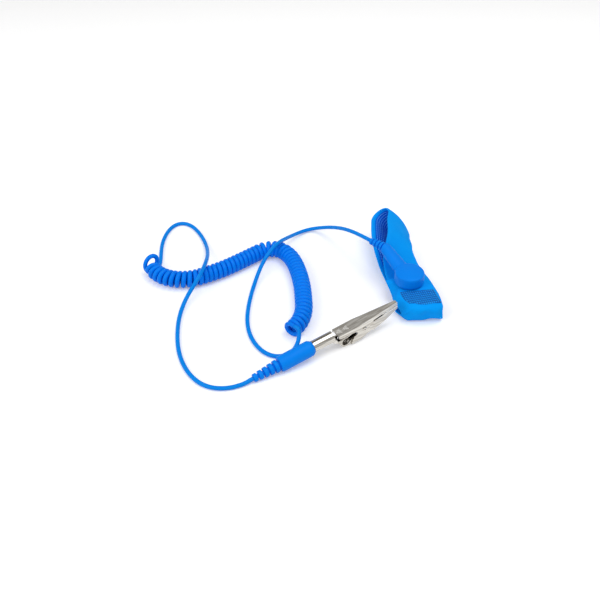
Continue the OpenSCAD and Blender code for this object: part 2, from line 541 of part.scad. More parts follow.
// Least clear gap of a wound line to itself, between points about a curl apart
function self_gap(p, d) = min([for (i = [0 : len(p) - 1], j = [i + 5 : 1 : min(i + 12, len(p) - 1)])
    norm(p[i] - p[j])]) - d;
module cord_coil() color([0, 0.45, 0.9]) {
    t = headings(curl_line);
    points = [for (i = [0 : len(t) - 1]) each
        ring_at(curl_line[i], t[i], spine_way((i - 1) * 360 / rings_per_curl), cord_d / 2, 6)];
    polyhedron(points, tube_faces(len(t), 6), convexity = 10);
}
// The straight cord's way along the table and over the coil, from each end of the coil
snap_end = lap_spot(snap_at, head_spot(snap_relief_len));
snap_in = unit(lap_spot(snap_at, head_spot(0)) - lap_spot(snap_at, head_spot(1)));
plug_end = clip_point([-grip_len - plug_relief_len, 0, 0]);
plug_in = unit(clip_point([1, 0, 0]) - clip_point([0, 0, 0]));
tuck = 3;               // how far the cord goes into a strain relief
snap_way_points = concat([coil_end, coil_end + cord_d * end_way], [
    [-41.5, -38, 7], [-41.9, -43.8, 2], [-47.5, -52.2, 1.25], [-56.4, -53.2, 1.2], [-63.9, -45.6, 1.2],
    [-68.5, -34.5, 1.2], [-69.9, -22.5, 1.2], [-69.4, -10.5, 1.2], [-68, 1.5, 1.2], [-65.2, 13.8, 3.6],
    [-61.5, 20.2, 9.2], [-56.2, 28.4, 11.8], [-52, 35.4, 11.3], [-46.3, 49.5, 4.6], [-38, 60.6, 1.3],
    [-28.8, 60.6, 3.2], [-19.5, 50.5, 10.6], [-11.2, 37.4, 17.4]],
    [snap_end - 4 * snap_in, snap_end - snap_in, snap_end + tuck * snap_in]);
plug_way_points = concat([coil_start, coil_start + cord_d * start_way], [
    [-124.3, 29, 1.2], [-126.2, 43, 1.2], [-125.1, 57.5, 1.2], [-120.4, 68, 1.2], [-112.4, 68.2, 1.2],
    [-105.4, 59.9, 1.2], [-99.5, 47.5, 1.3], [-96.3, 33, 4.2], [-95.1, 17, 10.3], [-96.5, 4.5, 11.7],
    [-99.7, -3.5, 9.4], [-104.5, -8, 3.4], [-107.1, -20, 1.2], [-106.7, -33, 1.2],
    [-105.1, -45.5, 1.2], [-101.5, -57.4, 1.2], [-95.3, -68.3, 1.2], [-86.4, -75.5, 1.2],
    [-75.9, -75.8, 1.2]],
    [plug_end - 6 * plug_in, plug_end - plug_in, plug_end + tuck * plug_in]);
way_step = 2;           // rings of the cord for each point of its way
function cord_way(p) = [for (i = [0 : (len(p) - 1) * way_step]) let (q = through(p, i / way_step))
    [q[0], q[1], max(q[2], cord_d / 2 + floor_gap)]];
module cord_snap_side() color([0.05, 0.5, 0.9]) cord_tube(cord_way(snap_way_points), cord_d, 8);
module cord_plug_side() color([0.05, 0.5, 0.9]) cord_tube(cord_way(plug_way_points), cord_d, 8);
echo(curls = curls, coil_gap = self_gap(curl_line_core, cord_d), spring_gap = self_gap(spring_line, wire_d));
echo(coil_start = coil_start, start_way = start_way, coil_end = coil_end, end_way = end_way);
echo(plug_end = plug_end, snap_end = snap_end, snap_in = snap_in);
echo(neck_lift = neck_lift);
echo(snap_axes = lap_axes(snap_at), snap_spot = lap_spot(snap_at, [-snap_left, 0, 0]));
echo(pivot = clip_point([pivot_x, 0, pivot_z]), mouth = clip_point([clip_len, 0, bite_z(clip_len)]));

band_outer();
band_lining();
hook_patch();
contact_plate();
snap_eyelet();
snap_stud();
snap_ring();
snap_socket();
snap_cap();
snap_relief();
cord_coil();
cord_snap_side();
cord_plug_side();
plug_relief();
plug_grip();
plug_pin();
plug_cage();
clip_body();
clip_jaw_piece();  // clip_jaw
clip_pivot();
clip_spring();
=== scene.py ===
import json
import math
import bmesh
import bpy
from mathutils import Matrix, Vector, noise


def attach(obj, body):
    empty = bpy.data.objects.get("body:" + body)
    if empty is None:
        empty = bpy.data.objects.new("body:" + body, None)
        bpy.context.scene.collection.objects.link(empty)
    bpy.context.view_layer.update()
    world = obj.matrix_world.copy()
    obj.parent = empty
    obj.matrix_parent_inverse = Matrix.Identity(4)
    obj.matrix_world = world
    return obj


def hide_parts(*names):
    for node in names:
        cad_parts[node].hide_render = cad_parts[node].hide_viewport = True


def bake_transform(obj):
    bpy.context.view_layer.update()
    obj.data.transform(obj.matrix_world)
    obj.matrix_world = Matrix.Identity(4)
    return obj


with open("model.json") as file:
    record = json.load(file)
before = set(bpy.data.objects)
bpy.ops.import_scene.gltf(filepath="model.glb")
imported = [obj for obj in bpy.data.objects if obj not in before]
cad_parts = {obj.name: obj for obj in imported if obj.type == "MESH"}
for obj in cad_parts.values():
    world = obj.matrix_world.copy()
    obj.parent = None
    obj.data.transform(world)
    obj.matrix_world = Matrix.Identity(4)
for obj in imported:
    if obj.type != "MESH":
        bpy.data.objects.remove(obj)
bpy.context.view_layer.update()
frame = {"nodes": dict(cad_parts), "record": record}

scene = bpy.context.scene
scene.view_settings.view_transform = "Standard"
MM = 0.001

# Camera: it stands in front of the strap, some 40 centimetres away, and looks 40 degrees down at it.
eye = bpy.data.objects.new("eye", bpy.data.cameras.new("eye"))
scene.collection.objects.link(eye)
eye.location = (-0.0409, -0.3313, 0.2725)
eye.rotation_euler = (math.radians(50), 0, 0)
eye.data.sensor_fit = "HORIZONTAL"
eye.data.sensor_width = 36
eye.data.lens = 45
eye.data.clip_start = 0.01
scene.camera = eye

# Coiled cord: stranded wire in a polyurethane jacket, wound tight on a rod and set by heat, so that its
# curls touch. It lies on the table in two wide bends and goes over into straight cord at both ends.
cord_d = 2.3 * MM
coil_d = 10 * MM
coil_pitch = 2.8 * MM
coil_z = 5.05 * MM
fuller = 0.25 * MM
curl_r = (coil_d - cord_d) / 2
loose_curls = 1.4
loose_way = Vector((-0.8, 3.2, 2.6)) * MM
coil_points = [Vector((x * MM, y * MM, coil_z)) for x, y in (
    (-128.4, 18.5), (-123.9, 12), (-117.4, 7.5), (-109.9, 5.8), (-101.9, 7), (-93.9, 10.8), (-85.4, 16),
    (-76.9, 22.6), (-68.9, 29.3), (-61.7, 34.6), (-53.7, 34.6), (-47.7, 29), (-43.9, 20.5), (-41.3, 10),
    (-39.7, -0.5), (-39, -11.5), (-39, -22), (-41.4, -31.2), (-46.2, -38.6))]


def colour(code):
    """A colour written as six hex digits, as Blender wants it."""
    parts = [int(code[i:i + 2], 16) / 255 for i in (0, 2, 4)]
    return tuple(c / 12.92 if c <= 0.04045 else ((c + 0.055) / 1.055) ** 2.4 for c in parts) + (1,)


def material(name, **settings):
    """A new material and its shader."""
    m = bpy.data.materials.new(name)
    m.use_nodes = True
    shader = m.node_tree.nodes["Principled BSDF"]
    for key, value in settings.items():
        shader.inputs[key.replace("_", " ")].default_value = value
    return m, shader


def feed(m, node, inputs):
    """Sets a node's inputs: numbers, colours or other nodes' outputs."""
    for key, value in inputs.items():
        if isinstance(value, bpy.types.NodeSocket):
            m.node_tree.links.new(value, node.inputs[key])
        else:
            node.inputs[key].default_value = value


def add(m, kind, inputs, **settings):
    """One node of a material, with its settings and links."""
    node = m.node_tree.nodes.new(kind)
    for key, value in settings.items():
        setattr(node, key, value)
    feed(m, node, inputs)
    return node


# A Mix node's sockets when it mixes two colours.
SHARE, FIRST, SECOND, MIXED = 0, 6, 7, 2


def smooth_plastic(name, deep, pale, gloss, cloud_mm, grain_mm, dent):
    """A soft, slightly shiny plastic. Its colour wanders between two blues, a cloud every cloud_mm, and
    a fine grain breaks up its highlights."""
    m, shader = material(name, Roughness=gloss, Specular_IOR_Level=0.08)
    place = add(m, "ShaderNodeTexCoord", {}).outputs["Object"]
    clouds = add(m, "ShaderNodeTexNoise", {"Vector": place, "Scale": 1 / (cloud_mm * MM), "Detail": 2.0})
    tint = add(m, "ShaderNodeMix", {SHARE: clouds.outputs["Fac"], FIRST: colour(deep), SECOND: colour(pale)},
               data_type="RGBA")
    grain = add(m, "ShaderNodeTexNoise", {"Vector": place, "Scale": 1 / (grain_mm * MM), "Detail": 3.0})
    dents = add(m, "ShaderNodeBump", {"Height": grain.outputs["Fac"], "Strength": 0.15,
                                      "Distance": dent * MM})
    feed(m, shader, {"Base Color": tint.outputs[MIXED], "Normal": dents.outputs["Normal"]})
    return m


def through(points, t):
    """The point t along a smooth curve through points, as in the part's source."""
    i = max(0, min(len(points) - 2, int(math.floor(t))))
    f = t - i
    b, c = points[i], points[i + 1]
    a = points[i - 1] if i > 0 else 2 * b - c
    d = points[i + 2] if i < len(points) - 2 else 2 * c - b
    return 0.5 * ((2 * b) + (c - a) * f + (2 * a - 5 * b + 4 * c - d) * f * f
                  + (3 * b - a - 3 * c + d) * f ** 3)


spine = [through(coil_points, k / 10) for k in range((len(coil_points) - 1) * 10 + 1)]
# How often the wire has turned at each point of the spine. In a bend the curls close up.
turns = [0.0]
for i in range(1, len(spine)):
    k = max(3, min(len(spine) - 4, i))
    before, after = spine[k] - spine[k - 3], spine[k + 3] - spine[k]
    bend = before.cross(after).length / (before.length * after.length) / ((before.length + after.length) / 2)
    spread = 1 - 0.6 * curl_r * bend
    ease = 0.9 if i < 4 else 1
    turns.append(turns[-1] + (spine[i] - spine[i - 1]).length * spread / coil_pitch * ease)
curls = math.floor(turns[-1] - 0.6) + 0.5


def spine_at(t):
    """The coil's middle line where the wire has turned t times."""
    t = max(0, min(turns[-1], t))
    i = next(k for k in range(1, len(turns)) if turns[k] >= t)
    return spine[i - 1].lerp(spine[i], (t - turns[i - 1]) / (turns[i] - turns[i - 1]))


def curl_at(t):
    """The cord's middle line on the coil where it has turned t times. The first curls stand loose."""
    way = (spine_at(t + 1 / 6) - spine_at(t - 1 / 6)).normalized()
    angle = 2 * math.pi * t - math.pi / 2
    loose = math.sin(math.pi * t / loose_curls) ** 2 if t < loose_curls else 0
    r = curl_r - fuller * min(1, 2 * t, 2 * (curls - t))
    sideways = Vector((way.y, -way.x, 0))
    return (spine_at(t) + r * (math.cos(angle) * sideways + math.sin(angle) * Vector((0, 0, 1)))
            + loose * loose_way)


def level(v):
    """v laid level, one long."""
    return Vector((v.x, v.y, 0)).normalized()


def skin(bm, rings):
    """Joins rings of points, one after the other, and closes both ends."""
    for one, two in zip(rings, rings[1:]):
        for k in range(len(one)):
            after = (k + 1) % len(one)
            bm.faces.new((one[k], one[after], two[after], two[k]))
    bm.faces.new(rings[0])
    bm.faces.new(rings[-1])


def tube(bm, path, radius, sides):
    """A round tube along a path, with a frame that doesn't twist. The radius may follow the path."""
    side = None
    rings = []
    for i, p in enumerate(path):
        way = (path[min(i + 1, len(path) - 1)] - path[max(i - 1, 0)]).normalized()
        if side is None:
            side = way.orthogonal()
        side = (side - way * side.dot(way)).normalized()
        up = way.cross(side)
        r = radius(i / (len(path) - 1)) if callable(radius) else radius
        angles = [2 * math.pi * k / sides for k in range(sides)]
        rings.append([bm.verts.new(p + r * (math.cos(a) * side + math.sin(a) * up)) for a in angles])
    skin(bm, rings)


def finish_piece(bm, name, finish, body=None, smooth=True):
    """Turns a bmesh into an object with its material, riding on a body."""
    bmesh.ops.recalc_face_normals(bm, faces=bm.faces)
    mesh = bpy.data.meshes.new(name)
    bm.to_mesh(mesh)
    bm.free()
    for face in mesh.polygons:
        face.use_smooth = smooth
    mesh.materials.append(finish)
    piece = bpy.data.objects.new(name, mesh)
    scene.collection.objects.link(piece)
    if body:
        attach(piece, body)
    return piece


# Polyurethane has a smooth, waxy skin. The wound cord is a deeper blue, because its curls shade each other.
wound_jacket = smooth_plastic("polyurethane jacket, wound", "0078EA", "0082F6", 0.36, 17, 1.1, 0.04)
curl_line = [curl_at(k / 28) for k in range(int(curls * 28) + 1)]
start_way = level(curl_at(0) - curl_at(1 / 8))
end_way = level(curl_at(curls) - curl_at(curls - 1 / 8))
coil_start = curl_line[0] + cord_d * start_way
coil_end = curl_line[-1] + cord_d * end_way
coil_line = [coil_start, curl_line[0] + cord_d * 0.5 * start_way] + curl_line + [
    curl_line[-1] + cord_d * 0.5 * end_way, coil_end]
bm = bmesh.new()
# The wound cord is a little fuller than the straight one, so that its curls touch.
tube(bm, coil_line, lambda share: cord_d / 2 + fuller * min(1, 60 * share, 60 * (1 - share)), 14)
coil = finish_piece(bm, "coil", wound_jacket, "strap")
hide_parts("cord_coil")

# Cord to the plug: the same cord left unwound. It rises in a loop behind the coil, passes over it in a low
# hump, lies loose on the table in a wide arc, and comes forward into the plug's strain relief.
joints = {j["name"]: j for j in frame["record"]["behaviour"]["joints"]}
clip_way = Vector(joints["plug_turn"]["axis"])
clip_left = -Vector(joints["jaw_open"]["axis"])
clip_up = clip_way.cross(clip_left)
clip_turn = Matrix((clip_way, clip_left, clip_up)).transposed().to_4x4()
clip_place = Matrix.Translation(Vector(joints["plug_turn"]["pos_m"])) @ clip_turn
plug_end = clip_place @ Vector((-35 * MM, 0, 0))
cord_low = 1.2 * MM
plug_way = [coil_start, coil_start + cord_d * start_way] + [Vector(p) * MM for p in (
    (-124.3, 29, 1.2), (-126.2, 43, 1.2), (-125.1, 57.5, 1.2), (-120.4, 68, 1.2), (-112.4, 68.2, 1.2),
    (-105.4, 59.9, 1.2), (-99.5, 47.5, 1.3), (-96.3, 33, 4.2), (-95.1, 17, 10.3), (-96.5, 4.5, 11.7),
    (-99.7, -3.5, 9.4), (-104.5, -8, 3.4), (-107.1, -20, 1.2), (-106.7, -33, 1.2),
    (-105.1, -45.5, 1.2), (-101.5, -57.4, 1.2), (-95.3, -68.3, 1.2), (-86.4, -75.5, 1.2),
    (-75.9, -75.8, 1.2))] + [
    plug_end - 6 * MM * clip_way, plug_end - MM * clip_way, plug_end + 3 * MM * clip_way]


def lie(points, steps=12):
    """A smooth line through the points, kept on the table, with its bends eased."""
    line = [through(points, k / steps) for k in range((len(points) - 1) * steps + 1)]
    for p in line:
        p.z = max(p.z, cord_low)
    last = len(line) - 2 * steps
    for _ in range(3):
        before = [p.copy() for p in line]
        for k in range(1, last):
            w = min(5, k, last - k)
            line[k] = sum(before[k - w:k + w + 1], Vector()) / (2 * w + 1)
    return line


def straight_cord(name, line, node):
    """A stretch of straight cord along a line, in place of one of the part's own solids."""
    bm = bmesh.new()
    tube(bm, line, cord_d / 2, 14)
    piece = finish_piece(bm, name, jacket)
    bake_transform(piece)
    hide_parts(node)
    return piece


# Unwound, the same jacket is a little paler.
jacket = smooth_plastic("polyurethane jacket", "0080E2", "008AEC", 0.36, 17, 1.1, 0.04)
plug_line = lie(plug_way)
plug_cord = straight_cord("plug_cord", plug_line, "cord_plug_side")

# Plug: a straight sleeve of soft PVC, moulded round the end of a banana plug, with a ribbed strain relief
# that tapers down to the cord. Its nickel-plated pin and sprung brass cage sit in the clip's barrel.
grip_len, grip_r, grip_bore = 20, 4.25, 1.62
relief_len, relief_root, relief_tip, relief_ribs = 15, 3.6, 2.15, 5
groove_depth, rib_edge = 1.15, 0.3


def turned(outline, place, sides):
    """A turned solid from (distance along the axis, radius) pairs, about the Z axis of place."""
    bm = bmesh.new()
    dots = [bm.verts.new((r * MM, 0, z * MM)) for z, r in outline]
    edges = [bm.edges.new(pair) for pair in zip(dots, dots[1:])]
    bmesh.ops.spin(bm, geom=dots + edges, cent=(0, 0, 0), axis=(0, 0, 1), dvec=(0, 0, 0),
                   angle=2 * math.pi, steps=sides, use_merge=True)
    bmesh.ops.remove_doubles(bm, verts=bm.verts, dist=0.001 * MM)
    bmesh.ops.holes_fill(bm, edges=[e for e in bm.edges if e.is_boundary], sides=0)
    bmesh.ops.transform(bm, matrix=place, verts=bm.verts)
    return bm


def ribbed(name, place, size, root_r, tip_r, ribs, body, node):
    """A strain relief: tapering ribs with narrow grooves between them, round the cord."""
    step = size / ribs
    cord_r = cord_d / 2 / MM
    outline = [(-0.6, root_r - 1.1), (0.0, root_r - 1.1)]
    for i in range(ribs):
        r = root_r + (tip_r - root_r) * (i + 1) / ribs + 0.05
        x = i * step
        low = max(r - groove_depth, cord_r + 0.15)
        # The groove's floor takes three tenths of the step, and the rib with its rounded edges the rest.
        outline += [(x + 0.1, low), (x + 0.3 * step - 0.05, low), (x + 0.3 * step, low + 0.05)]
        outline += [(x + 0.31 * step, r - rib_edge), (x + 0.34 * step, r - 0.06), (x + 0.42 * step, r)]
        outline += [(x + 0.9 * step, r), (x + 0.97 * step, r - 0.06), (x + step - 0.04, r - rib_edge)]
        outline += [(x + step, low + 0.05)]
    # The last rib ends in a flat face round the cord.
    outline = outline[:-1] + [(size - 0.02, tip_r - rib_edge), (size - 0.05, cord_r + 0.02)]
    piece = finish_piece(turned(outline, place, 48), name, moulding, body)
    soft = piece.modifiers.new("soft", "SUBSURF")
    soft.levels = soft.render_levels = 1
    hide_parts(node)


def refinish(node, finish):
    """Gives one of the part's own solids its finish."""
    solid = frame["nodes"][node]
    solid.data.materials.clear()
    solid.data.materials.append(finish)


def metal(name, bright, dull, gloss, along=0.0):
    """A bare or plated metal. Drawing lines 30 mm long and 1.1 mm apart, turned by the angle along, give
    it streaks of light and dark. They are coarser than real ones, so that they show."""
    m, shader = material(name, Metallic=1.0)
    place = add(m, "ShaderNodeTexCoord", {}).outputs["Object"]
    drawn = add(m, "ShaderNodeMapping", {"Vector": place, "Rotation": (0, 0, along),
                                         "Scale": (30 * MM, 1.1 * MM, 1.1 * MM)}, vector_type="TEXTURE")
    marks = add(m, "ShaderNodeTexNoise", {"Vector": drawn.outputs["Vector"], "Scale": 1.0, "Detail": 2.0})
    streaks = add(m, "ShaderNodeMapRange", {"Value": marks.outputs["Fac"], "From Min": 0.38,
                                            "From Max": 0.62})
    tint = add(m, "ShaderNodeMix", {SHARE: streaks.outputs["Result"], FIRST: colour(dull),
                                    SECOND: colour(bright)}, data_type="RGBA")
    shine = add(m, "ShaderNodeMapRange", {"Value": marks.outputs["Fac"], "From Min": 0.3, "From Max": 0.7,
                                          "To Min": gloss * 0.9, "To Max": gloss * 1.15})
    grain = add(m, "ShaderNodeTexNoise", {"Vector": place, "Scale": 3 / MM, "Detail": 3.0})
    dents = add(m, "ShaderNodeBump", {"Height": grain.outputs["Fac"], "Strength": 0.15,
                                      "Distance": 0.02 * MM})
    feed(m, shader, {"Base Color": tint.outputs[MIXED], "Roughness": shine.outputs["Result"],
                     "Normal": dents.outputs["Normal"]})
    return m


# Moulded PVC has a satin skin with the fine grain of its mould.
moulding = smooth_plastic("moulded PVC", "007EEA", "0086F2", 0.42, 11, 0.45, 0.035)
# Nickel plate is bright and slightly warm, brass yellow and duller.
nickel = metal("nickel plate", "F2F0EC", "DEDBD5", 0.18)
brass = metal("brass", "E2C37A", "B99449", 0.25)
refinish("plug_pin", nickel)
refinish("plug_cage", brass)
backwards = clip_place @ Matrix.Rotation(-math.pi / 2, 4, "Y")
sleeve = [(0.1, grip_bore), (0.1, 3.0), (0.16, 3.25), (0.35, 3.42), (1.5, 4.1), (1.85, 4.22), (2.3, grip_r),
          (10, grip_r), (18.9, grip_r), (19.4, 4.2), (19.8, 4.0), (grip_len, 3.5), (grip_len, 1.7)]
grip = finish_piece(turned(sleeve, backwards, 96), "plug_sleeve", moulding, "plug")
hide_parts("plug_grip")
ribbed("plug_strain_relief", backwards @ Matrix.Translation((0, 0, grip_len * MM)), relief_len, relief_root,
       relief_tip, relief_ribs, "plug", "plug_relief")

# Cord to the snap: unwound cord from the coil's other end. It turns back beside the plug, passes over
# the coil, and bends up behind the band into the snap head's strain relief. It is made in two stretches.
snap_end = Vector((0.228333, 22.0851, 20.5466)) * MM
snap_in = Vector((0.732197, -0.681093, 0))
snap_way = [coil_end, coil_end + cord_d * end_way] + [Vector(p) * MM for p in (
    (-41.2, -42, 7), (-42.4, -47.2, 2.2), (-48, -53, 1.25), (-56.4, -53.2, 1.2), (-63.9, -45.6, 1.2),
    (-68.5, -34.5, 1.2), (-69.9, -22.5, 1.2), (-69.4, -10.5, 1.2), (-68, 1.5, 1.2), (-65.2, 13.8, 3.6),
    (-61.5, 20.2, 9.2), (-56.2, 28.4, 11.8), (-52, 35.4, 11.3), (-46.3, 49.5, 4.6), (-38, 60.6, 1.3),
    (-28.8, 60.6, 3.2), (-19.5, 50.5, 10.6), (-11.2, 37.4, 17.4))] + [
    snap_end - 4 * MM * snap_in, snap_end - MM * snap_in, snap_end + 3 * MM * snap_in]
split_share = 0.83
snap_line = lie(snap_way)
# The stretches meet at the ring, the body between the strap and the snap head.
split = int(len(snap_line) * split_share)
split_spot = tuple(snap_line[split])
for name, line, bodies, start, end in (
        ("snap_cord", snap_line[:split + 1], ("strap", "ring"), (-0.052, 0.03, 0), split_spot),
        ("snap_cord_end", snap_line[split:], ("ring", "snap_head"), split_spot, tuple(snap_end))):
    stretch = straight_cord(name, line, "cord_snap_side")

# Crocodile clip: two halves pressed from drawn, nickel-plated steel sheet, which turn on a riveted pin
# against a spring of bare wire. Two raised triangles on the upper half keep the thumb from slipping.
mark_spots, mark_r, mark_top_r = (16.2, 20.4), 2.3, 0.3
mark_low, mark_high = 0.99, 2.05
mark_lean = Vector((0.4, 0.7, 0)) * MM
drawn_way = 0.541
# The plate is a soft grey with long streaks. The unplated spring is dark, and darker with painted shade.
steel = metal("nickel-plated steel sheet", "DAD7D0", "B6B1A8", 0.13, drawn_way)
wire = metal("spring steel wire, with painted shade", "7A7064", "4E463C", 0.32)
for node in ("clip_body", "clip_jaw", "clip_pivot"):
    refinish(node, steel)
refinish("clip_spring", wire)
bm = bmesh.new()
for x in mark_spots:
    middle = Matrix.Translation(Vector((x, 0, (mark_low + mark_high) / 2)) * MM)
    bmesh.ops.create_cone(bm, cap_ends=True, segments=3, radius1=mark_r * MM, radius2=mark_top_r * MM,
                          depth=(mark_high - mark_low) * MM,
                          matrix=middle @ Matrix.Rotation(math.pi / 2, 4, "Z"))
# The tops lean forwards, so that each mark has one broad face towards the near side.
tops = [v for v in bm.verts if v.co.z > (mark_low + mark_high) / 2 * MM]
bmesh.ops.translate(bm, vec=mark_lean, verts=tops)
bmesh.ops.transform(bm, matrix=clip_place, verts=bm.verts)
marks = finish_piece(bm, "grip_marks", nickel, "upper_jaw", smooth=False)

# Band: elastic webbing woven from crimped nylon, folded into a flat loop. Its end lies doubled over the
# loop, and the open part rolls to one side. Sizes are in millimetres, the same as in the part's source.
loop_len, near_y, near_rise, far_rise = 79, -25.5, 6.2, 13
webbing_t, band_w = 1.3, 21
near_bend, lap_rise, lap_len, edge_shift = 3.6, 2.9, 27, 1.5
far_bend, fold_bend = far_rise / 2, 1.4
lap_top = near_rise + lap_rise
roll_most, roll_far, roll_lean = 50, 5, 9
cup_least, cup_most = 0.0001, 0.045
lean_out, flattened, pushed, tuck_in, tuck_back, crushed = 0.8, 1.6, 1.5, 1.2, 2, 1.6
hang_in, hang_back, hang_down, hang_up = 0.38, 0.42, 0.95, 0.28
drawn_back, shifted = 2.9, 2.5
wider_right, narrower_left, waist = 1.6, 3, 2.3
knot_share = (0, 0.15, 0.35, 0.6, 0.8, 1)
knot_x = [Vector((x, 0, 0)) for x in (26.6, 23.6, 19.1, 13.4, 10.9, 11.3)]


def hold(t):
    """t held between 0 and 1."""
    return max(0, min(1, t))


def ramp(t):
    """A smooth step from 0 to 1."""
    t = hold(t)
    return t * t * (3 - 2 * t)


def middle_at(v):
    """The middle of the band, sideways."""
    share = hold(v / loop_len)
    i = next((k for k in range(len(knot_share) - 2) if share < knot_share[k + 1]), len(knot_share) - 2)
    return through(knot_x, i + (share - knot_share[i]) / (knot_share[i + 1] - knot_share[i])).x


def opened(v):
    """How far the band has rolled and opened, from 0 under its lapped end to 1."""
    return ramp((v - lap_len) / (0.6 * loop_len))


def rise_at(v):
    """The rise of the upper layer over the lower one."""
    return near_rise + (far_rise - near_rise) * opened(v)


def shift_at(v):
    """How far the lower layer sits to the right of the one above it."""
    return -edge_shift * (1 - ramp((v - 5) / 10)) + shifted * ramp((v - 8) / 10) * ramp((64 - v) / 36)


def draw_back(v, u):
    """How far the round far end is drawn back on its right side."""
    return drawn_back * ramp((v / loop_len - 0.6) / 0.4) * max(0, (2 * u / band_w + 0.5) / 1.5) ** 2.6


def crease_at(v):
    """The line across the doubled part from which its left side hangs."""
    if v < 18:
        return -8.5 - 2.5 * math.sin(math.pi * max(0, v) / 18)
    return -12 + 3.5 * ramp((30 - v) / 12)


def hang(v, n, u):
    """How far the left edge of the doubled part hangs: inwards, back and down."""
    past = crease_at(v) - u
    fade = ramp((30 - v) / 10) * ramp((past + 2) / 2)
    past = 0.5 * (past + math.sqrt(past * past + 0.6)) * fade
    high = hold(n / lap_top)
    down = hang_down * high - hang_up * (1 - high)
    return hang_in * past, hang_back * past * ramp((16 - v) / 16), down * past


def band_point(v, n, u):
    """A point v along the loop, n above its lower layer and u across it, in metres. The open part is
    rolled and cupped, its upper layer leans out, and the front fold is tucked under and crushed."""
    high = hold(n / far_rise)
    wide_open = ramp((v - 50) / 20)
    lean = ramp((v - 35) / 20) * ramp((69 - v) / 20) * high
    roll = math.radians(roll_most * opened(v) + roll_far * (1 - high) * wide_open + roll_lean * lean)
    n -= flattened * wide_open * max(0, n) / far_rise
    heading = ramp(v / 25) * math.atan2(middle_at(max(0, v - 2)) - middle_at(min(loop_len, v + 2)), 4)
    cup = cup_least + cup_most * ramp((v - 45) / 25)
    edge = roll + cup * band_w / 2
    low = (math.cos(roll) - math.cos(edge)) / cup + webbing_t * math.cos(edge) + 0.05
    turn = roll + cup * u / (1 + cup * n)
    side = (math.sin(turn) - math.sin(roll)) / cup + n * math.sin(turn)
    z = low + (math.cos(turn) - math.cos(roll)) / cup + n * math.cos(turn)
    front = ramp((8 - v) / 8)
    tuck = front * max(0, 1 - n / 7) * max(0, u / 10)
    push = pushed * ramp((v - 60) / 15) * max(0, 1 - n / far_rise) * max(0, -2 * u / band_w)
    crush = crushed * front * noise.noise(Vector((v * 0.12, n * 0.16 + 4, u * 0.16)))
    inwards, back, down = hang(v, n, u)
    x = middle_at(v) + side * math.cos(heading) + lean_out * lean + tuck_in * tuck + inwards
    y = near_y + v + side * math.sin(heading) - draw_back(v, u) + push + tuck_back * tuck + back - crush
    return Vector((x, y, max(0.02, z - down))) * MM


# The strap's line as (along, above, across): the upper layer, the round far end, the lower layer, the
# front fold with its round lower and crisp upper bend, and the lapped end.
strap = []
for k in range(61):
    v = 5 + (loop_len - far_bend - 5) * k / 60
    strap.append((v, rise_at(v), 0))
for k in range(1, 28):
    a = math.radians(180 / 28 * k)
    strap.append((loop_len - far_bend + far_bend * math.sin(a), far_bend + far_bend * math.cos(a), 0))
for k in range(61):
    v = loop_len - far_bend - (loop_len - far_bend - near_bend) * k / 60
    strap.append((v, 0, shift_at(v)))
for k in range(1, 11):
    a = math.radians(9 * k)
    strap.append((near_bend - near_bend * math.sin(a), near_bend - near_bend * math.cos(a), -edge_shift))
for k in range(5):
    strap.append((0, near_bend + (lap_top - fold_bend - near_bend) * (k + 0.5) / 5, -edge_shift))
for k in range(11):
    a = math.radians(9 * k)
    strap.append((fold_bend - fold_bend * math.cos(a), lap_top - fold_bend + fold_bend * math.sin(a),
                  -edge_shift))
for k in range(1, 33):
    v = fold_bend + (lap_len - fold_bend) * k / 32
    strap.append((v, rise_at(v) + lap_rise, -edge_shift - 1.2 * ramp(v / lap_len)))


def strap_strip(name, section, finish, waver=0.0, short=0.0):
    """A strip of the strap. Its section is a closed loop of (depth outwards, distance across). waver
    makes its edges uneven, and short cuts it back on the left towards the front fold."""
    bm = bmesh.new()
    uv = bm.loops.layers.uv.new("mm")
    middle = sum(depth for depth, w in section) / len(section)
    rings, spots, gone = [], {}, 0.0
    for i, (v, n, u) in enumerate(strap):
        a, b = strap[max(i - 1, 0)], strap[min(i + 1, len(strap) - 1)]
        step = math.hypot(b[0] - a[0], b[1] - a[1])
        out = (-(b[1] - a[1]) / step, (b[0] - a[0]) / step)
        if i:
            gone += math.hypot(v - strap[i - 1][0], n - strap[i - 1][1])
        end = min(i, len(strap) - 1 - i)
        thin = (0.35, 0.75, 0.95)[end] if end < 3 else 1
        ring = []
        for depth, w in section:
            d = middle + (depth - middle) * thin
            right, left = max(0, 2 * w / band_w), max(0, -2 * w / band_w)
            across = w * (1 + waver * 0.01 * noise.noise(Vector((gone * 0.12, math.copysign(3.0, w), 0.5))))
            across = max(across, -band_w / 2 + short * ramp((20 - v) / 8)) if short else across
            across += (0.4 + wider_right * ramp(v / 14)) * ramp((44 - v) / 20) * right
            across -= narrower_left * ramp((27 - v) / 20) * left
            across -= waist * ramp((v - 40) / 10) * ramp((70 - v) / 12) * right
            ring.append(bm.verts.new(band_point(v + out[0] * d, n + out[1] * d, u + across)))
            spots[ring[-1]] = (w + 30, gone)
        rings.append(ring)
    skin(bm, rings)
    for face in bm.faces:
        for loop in face.loops:
            loop[uv].uv = spots[loop.vert]
    return finish_piece(bm, name, finish, "strap")


def rounded(inner, outer, w, corner, parts=18):
    """A flat strip's section with rounded edges."""
    half = w / 2
    middle, r = (inner + outer) / 2, (outer - inner) / 2
    top = [(outer, -half + corner + (w - 2 * corner) * k / parts) for k in range(parts + 1)]
    angles = [math.pi * k / 6 for k in range(1, 6)]
    edge = [(middle + r * math.cos(a), half - corner + corner * math.sin(a)) for a in angles]
    return top + edge + [(inner, -y) for x, y in top] + [(x, -y) for x, y in reversed(edge)]


